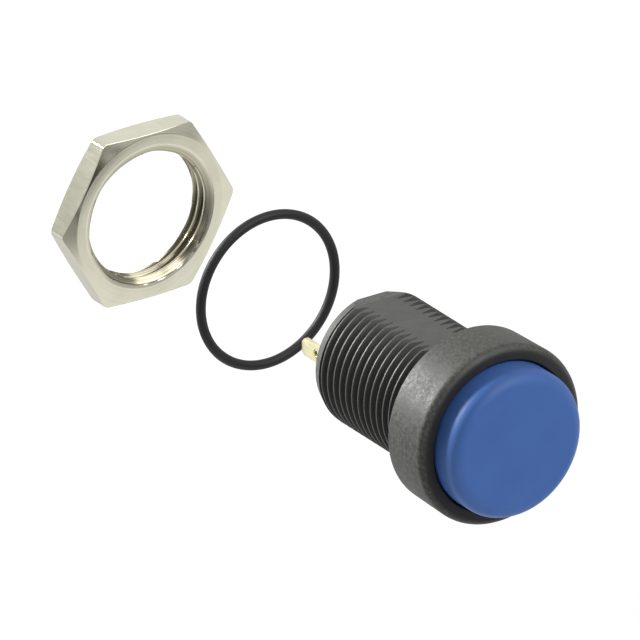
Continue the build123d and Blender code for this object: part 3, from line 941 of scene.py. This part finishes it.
def button():
    """The blue cap, with its rounded front edge, its skirt and the boss inside."""
    flat_r = BUTTON_R - BUTTON_EDGE
    skirt_r = BUTTON_R - SKIRT_WALL
    skirt_edge = (BUTTON_R - SKIRT_EDGE, SKIRT_END - SKIRT_EDGE)
    inside = BUTTON_FRONT + BUTTON_WALL
    ring_end = inside + SPRING_RING_HEIGHT
    ring_outer_r = SPRING_RING_R + SPRING_RING_WALL
    outline = [(flat_r / 2, BUTTON_FRONT)]
    outline += corner_arc((flat_r, BUTTON_FRONT + BUTTON_EDGE), BUTTON_EDGE, -pi / 2, 0, steps=14)
    outline += corner_arc(skirt_edge, SKIRT_EDGE, 0, pi / 2, steps=4)
    outline += [
        (skirt_r, SKIRT_END),
        (skirt_r, inside),
        (ring_outer_r, inside),
        (ring_outer_r, ring_end),
        (SPRING_RING_R, ring_end),
        (SPRING_RING_R, inside),
        (BOSS_R, inside),
        (BOSS_R, BOSS_END),
        (BOSS_BORE_R, BOSS_END),
        (BOSS_BORE_R, BOSS_BORE_FLOOR),
    ]
    rings = []
    for radius, depth in outline:
        rings.append([(x, depth, z) for x, z in circle_points(radius, SEGMENTS)])
    piece = capped_rings("button_moulding", BUTTON_FRONT, rings, BOSS_BORE_FLOOR)
    return dress(tidy_mesh(piece), "button", "blue_cap", "button_cap")


def sealing_ring():
    """The rubber ring, with the fine line that its mould leaves round it inside and outside."""
    section_r = (RING[1].y - RING[0].y) / 2
    mean_r = RING[1].x - section_r
    middle = (RING[0].y + RING[1].y) / 2
    outline = []
    for step in range(RING_STEPS):
        angle = 2 * pi * step / RING_STEPS
        at_line = step in (0, RING_STEPS // 2)
        reach = section_r + (RING_FLASH if at_line else 0.0)
        outline.append((mean_r + reach * cos(angle), middle + section_r * sin(angle)))
    piece = turned_threaded("rubber_ring", outline, {}, crease=radians(50))
    return dress(piece, "gasket", "black_rubber", "panel_gasket")


def hexagon_prism(corner_r, front, rear):
    """A hexagonal bar along Y with rounded corners, longer than the nut at both ends."""
    work = bmesh.new()
    middle = Matrix.Translation((0, (front + rear) / 2, 0))
    lengthwise = Matrix.Rotation(pi / 2, 4, "X") @ Matrix.Rotation(pi / 2, 4, "Z")
    bmesh.ops.create_cone(
        work,
        cap_ends=True,
        segments=6,
        radius1=corner_r,
        radius2=corner_r,
        depth=rear - front + 2 * OVERCUT,
        matrix=middle @ lengthwise,
    )
    corners = [e for e in work.edges if abs((e.verts[0].co - e.verts[1].co).y) > rear - front]
    round_edges(work, corners, NUT_CORNER_ROUND, segments=6)
    return object_of("hexagon", work)


def panel_nut():
    """The hexagonal nut: its corners bevelled at both ends, its bore countersunk and threaded."""
    front = NUT[0].y
    rear = NUT[1].y
    corner_r = NUT[1].x
    face_r = NUT[1].z - NUT_FACE_INSET
    blank_r = corner_r + NUT_BLANK_MARGIN
    bevel = (blank_r - face_r) * tan(NUT_CHAMFER_ANGLE)
    outline = thread_rows(front, rear)
    outline += [
        (face_r, rear),
        (blank_r, rear - bevel),
        (blank_r, front + bevel),
        (face_r, front),
    ]
    thread = {
        "Thread Radius": NUT_BORE_R,
        "Depth": NUT_THREAD_DEPTH,
        "Thread Front": front,
        "Thread Rear": rear,
        "Rim Radius": NUT_RIM_R,
        "Countersink Slope": NUT_COUNTERSINK_SLOPE,
    }
    piece = turned_threaded("hexagonal_nut", outline, thread)
    tidy_mesh(carve(piece, hexagon_prism(corner_r, front, rear), "INTERSECT"))
    rounded_from = face_r - NUT_EDGE_MARGIN
    soften(piece, NUT_EDGE, NUT_EDGE_TURN, lambda point: hypot(point.x, point.z) > rounded_from)
    keep_flats_plain(tidy_mesh(piece, crease=NUT_EDGE_TURN))
    return dress(piece, "nut", "nickel_plate", "panel_nut")


def terminal_blade(name, outer, front, tip, half):
    """A flat blade with an eye, a chamfered tip and softened edges. Outer is its outer face."""
    shoulder = tip - TERMINAL_TIP_CHAMFER
    tip_half = half - TERMINAL_TIP_CHAMFER
    eye_place = tip - EYE_PLACE
    blade_edge = [
        (front, -half),
        (shoulder, -half),
        (tip, -tip_half),
        (tip, tip_half),
        (shoulder, half),
        (front, half),
    ]
    eye_edge = []
    for across, lengthwise in circle_points(EYE_R, EYE_STEPS):
        eye_edge.append((eye_place + lengthwise, across))
    work = bmesh.new()
    edges = []
    for loop in (blade_edge, eye_edge):
        verts = [work.verts.new((outer - TERMINAL_THICKNESS, y, z)) for y, z in loop]
        edges += [work.edges.new(pair) for pair in zip(verts, verts[1:] + verts[:1])]
    bmesh.ops.triangle_fill(work, edges=edges, use_beauty=True)

    # The fill covers the eye too, so it is opened again
    well_inside = 0.9 * EYE_R
    in_eye = []
    for face in work.faces:
        middle = face.calc_center_median()
        if hypot(middle.y - eye_place, middle.z) < well_inside:
            in_eye.append(face)
    bmesh.ops.delete(work, geom=in_eye, context="FACES")
    made = bmesh.ops.extrude_face_region(work, geom=list(work.faces))
    moved = [part for part in made["geom"] if isinstance(part, bmesh.types.BMVert)]
    bmesh.ops.translate(work, verts=moved, vec=(TERMINAL_THICKNESS, 0, 0))
    bmesh.ops.recalc_face_normals(work, faces=work.faces)
    stamped = [e for e in work.edges if e.is_manifold and e.calc_face_angle() > TERMINAL_EDGE_TURN]
    round_edges(work, stamped, TERMINAL_EDGE, segments=2)
    return object_of(name, work)


def terminal(side):
    """A terminal: its blade, and the foot that carries a fixed contact.

    It is made on the +X side of the axis, and mirrored for the other one.
    """
    node = "terminal_left" if side < 0 else "terminal_right"
    low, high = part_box(node)
    outer = high.x if side > 0 else -low.x
    inner = low.x if side > 0 else -high.x
    piece = terminal_blade(node + "_strip", outer, low.y, high.y, high.z)

    inset = 2 * FOOT_INSET
    foot_size = (outer - inner - inset, TERMINAL_THICKNESS - inset, 2 * high.z - inset)
    foot_place = ((inner + outer) / 2, low.y + TERMINAL_THICKNESS / 2, 0)
    carve(piece, block("foot", foot_place, foot_size), "UNION")
    if side < 0:
        piece.data.transform(Matrix.Diagonal((-1, 1, 1, 1)))
    return dress(tidy_mesh(piece), "housing", "gold_plate", node)


def potting():
    """The resin behind the base: it climbs a little up the bore's wall and the terminals."""
    low, high = POTTING
    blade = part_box("terminal_right")[1]
    half_thickness = TERMINAL_THICKNESS / 2
    blade_x = blade.x - half_thickness

    def surface(x, z):
        """How far back the resin reaches at a place."""
        to_wall = high.x - hypot(x, z)
        past_face = max(abs(abs(x) - blade_x) - half_thickness, 0)
        past_edge = max(abs(z) - blade.z, 0)
        nearest = min(to_wall, hypot(past_face, past_edge))
        return high.y - POTTING_SINK * (1 - exp(-nearest / POTTING_CLIMB))

    rings = []
    for ring in range(1, POTTING_RINGS + 1):
        circle = circle_points(high.x * ring / POTTING_RINGS, POTTING_SPOKES)
        rings.append([(x, surface(x, z), z) for x, z in circle])
    rings.append([(x, low.y, z) for x, z in circle])
    piece = capped_rings("potting_resin", surface(0, 0), rings, low.y)
    return dress(tidy_mesh(piece, crease=radians(60)), "housing", "black_potting", "base_seal")


def spring(name, node, body, wire, turns):
    """A coil spring of round wire along its node's box, on the given body."""
    low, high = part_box(node)
    piece = object_from(name, [])
    mean_r = high.x - wire / 2
    values = {"Front": low.y, "Rear": high.y, "Mean Radius": mean_r, "Wire": wire, "Turns": turns}
    grow(piece, COIL, values)
    tidy_mesh(piece, crease=radians(60))
    dress(piece, body, "spring_steel", node)
    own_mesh(piece)
    return piece


def both_springs():
    """The return spring stands on the housing, and the contact spring on the button's washer."""
    spring(
        "return_spring_wire",
        "return_spring",
        body="housing",
        wire=RETURN_WIRE,
        turns=RETURN_TURNS,
    )
    spring(
        "contact_spring_wire",
        "contact_spring",
        body="button",
        wire=CONTACT_WIRE,
        turns=CONTACT_TURNS,
    )


def finish_plain_nodes():
    """Gives the nodes that no piece stands for the finish of their slot."""
    for subpart in frame["record"]["subparts"]:
        node = frame["nodes"][subpart["node"]]
        if not node.hide_render:
            finish(node, subpart["material_slot"])


threaded_housing()
button()
sealing_ring()
panel_nut()
terminal(-1)
terminal(1)
potting()
both_springs()
finish_plain_nodes()


# ---------------- floor, light and camera


def empty_wiring(owner):
    """Turns on the nodes of a material or a world, and takes away those that it starts with."""
    owner.use_nodes = True
    owner.node_tree.nodes.clear()
    return Wiring(owner.node_tree)


def shown_white(w, tone):
    """A mask of the rays that show the plain background, and how bright it is for them.

    The mask is 1 to the camera, in gloss and in glass. The background is white to the camera,
    and has the given tone in gloss and glass.
    """
    path = w.add("ShaderNodeLightPath").outputs
    mirrored = w.math("MAXIMUM", path["Is Glossy Ray"], path["Is Transmission Ray"])
    shown = w.math("MAXIMUM", path["Is Camera Ray"], mirrored)
    return shown, w.math("MAXIMUM", tone, path["Is Camera Ray"])


def along(w, place, way):
    """How far a place is along a way."""
    node = w.add("ShaderNodeVectorMath", {0: place, 1: Vector(way)}, operation="DOT_PRODUCT")
    return node.outputs["Value"]


def pale_floor():
    """A wide floor, white to the camera, that keeps the pieces' shadows."""
    size = FLOOR_SIZE
    level = cad_box[0].z - FLOOR_DROP
    corners = [(-size, -size, level), (size, -size, level), (size, size, level), (-size, size, level)]
    piece = object_from("floor", corners, [(0, 1, 2, 3)])
    material = bpy.data.materials.new("pale_floor")
    w = empty_wiring(material)
    place = w.add("ShaderNodeTexCoord").outputs["Object"]
    front = ramp(w, along(w, place, FLOOR_SHADE_WAY), *FLOOR_SHADE_FADE, FLOOR_SHADE, 1.0)
    rear = ramp(w, along(w, place, (0, 1, 0)), *FLOOR_REAR_FADE, 1.0, FLOOR_REAR_SHADE)
    shown, tone = shown_white(w, w.math("MINIMUM", front, rear))
    paper = w.add("ShaderNodeBsdfDiffuse", {"Color": grey(PAPER)}).outputs[0]
    strength = w.math("MULTIPLY", tone, FLOOR_GLOW)
    glow = w.add("ShaderNodeEmission", {"Color": grey(1), "Strength": strength}).outputs[0]
    faint = w.add("ShaderNodeBsdfDiffuse", {"Color": grey(1 - FLOOR_GLOW)}).outputs[0]
    lit = w.add("ShaderNodeAddShader", {0: glow, 1: faint}).outputs[0]
    mixed = w.add("ShaderNodeMixShader", {0: shown, 1: paper, 2: lit}).outputs[0]
    w.add("ShaderNodeOutputMaterial", {0: mixed})
    piece.data.materials.append(material)


def world():
    """The room: dim light on the pieces, and pale surroundings in what is shiny."""
    made = bpy.data.worlds.new("studio")
    bpy.context.scene.world = made
    w = empty_wiring(made)
    way = w.add("ShaderNodeTexCoord").outputs["Generated"]
    tone = ramp(w, along(w, way, ROOM_LIGHT_WAY), *ROOM_FADE, ROOM_SHADE, 1.0)
    shown, tone = shown_white(w, tone)
    dim = w.add("ShaderNodeBackground", {"Color": grey(1), "Strength": WORLD_LIGHT}).outputs[0]
    white = w.add("ShaderNodeBackground", {"Color": grey(1), "Strength": tone}).outputs[0]
    mixed = w.add("ShaderNodeMixShader", {0: shown, 1: dim, 2: white}).outputs[0]
    w.add("ShaderNodeOutputWorld", {0: mixed})


def softbox(name, direction, distance, spread, level):
    """A square lamp that shines on the switch from a direction.

    Spread is half the angle that it fills. Level is how bright white paper gets that faces it.
    """
    lamp = bpy.data.lights.new(name, "AREA")
    lamp.shape = "SQUARE"
    lamp.size = 2 * distance * tan(spread)
    lamp.energy = level * pi * pi * distance**2
    piece = new_object(name, lamp)
    way = Vector(direction).normalized()
    piece.location = Vector(LAMP_AIM) + way * distance
    piece.rotation_euler = way.to_track_quat("Z", "Y").to_euler()


def camera():
    """A camera with a long lens, well off in front of the switch, on its -X side and above it."""
    made = bpy.data.cameras.new("camera")
    piece = new_object("camera", made)
    made.sensor_width = SENSOR
    made.lens = LENS
    level = cos(CAMERA_ELEVATION)
    back = Vector((sin(CAMERA_AZIMUTH) * level, -cos(CAMERA_AZIMUTH) * level, sin(CAMERA_ELEVATION)))
    right = Vector((0, 0, 1)).cross(back).normalized()
    up = back.cross(right)
    aim = Vector((0, BEZEL_FRONT, 0)) + right * VIEW_CENTRE[0] + up * VIEW_CENTRE[1]
    distance = VIEW_WIDTH * LENS / SENSOR
    piece.location = aim + back * distance
    piece.rotation_mode = "QUATERNION"
    piece.rotation_quaternion = back.to_track_quat("Z", "Y")
    made.clip_start = distance * 0.1
    made.clip_end = distance * 10
    bpy.context.scene.camera = piece


pale_floor()
world()
softbox("rear_left_softbox", (-0.515, 0.765, 0.40), distance=0.30, spread=radians(5), level=1.75)
softbox("front_softbox", (0.27, -0.68, 0.68), distance=0.50, spread=radians(23), level=0.82)
camera()

settings = bpy.context.scene.view_settings
settings.view_transform = "Standard"
